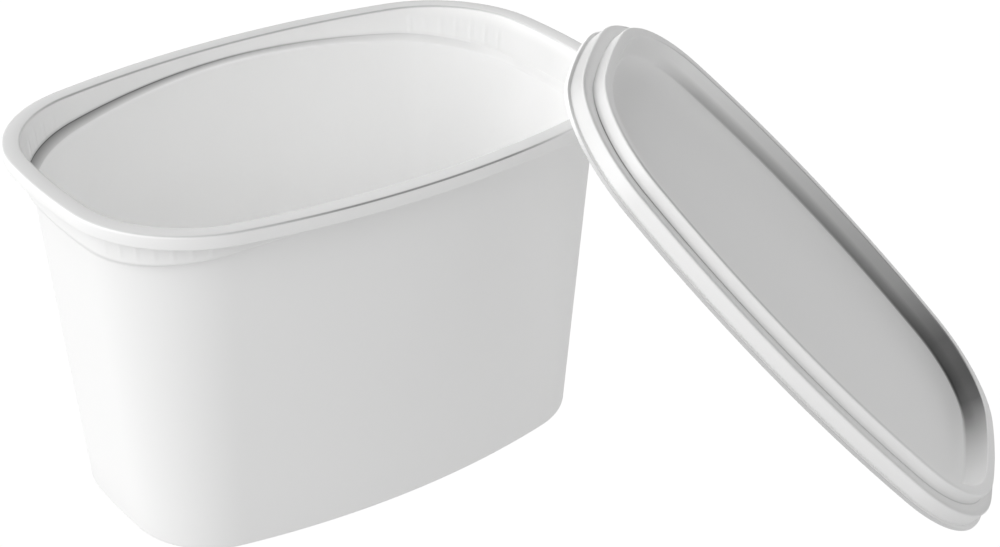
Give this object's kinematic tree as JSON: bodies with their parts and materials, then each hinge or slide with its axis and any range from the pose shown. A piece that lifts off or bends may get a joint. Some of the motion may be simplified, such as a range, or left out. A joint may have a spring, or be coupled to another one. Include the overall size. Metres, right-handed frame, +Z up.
{
  "type": "oval food storage container",
  "caption": "Oval white plastic food tub with a wide rim and stacking collar, and its recessed push-on lid leaning against one corner",
  "frame": {"origin": "centre of the tub's flat base, on the surface it stands on", "axes": "+Z up, X along the tub's length, Y across it; the lid leans on the tub's corner towards +X and -Y"},
  "size_m": [0.2743, 0.239, 0.137],
  "materials": {
    "tub_plastic": "smooth moulded, soft gloss",
    "lid_plastic": "smooth moulded, soft gloss with a satin panel"
  },
  "bodies": {
    "root": {"tub": "tub_plastic", "lid": "lid_plastic"}
  },
  "joints": []
}
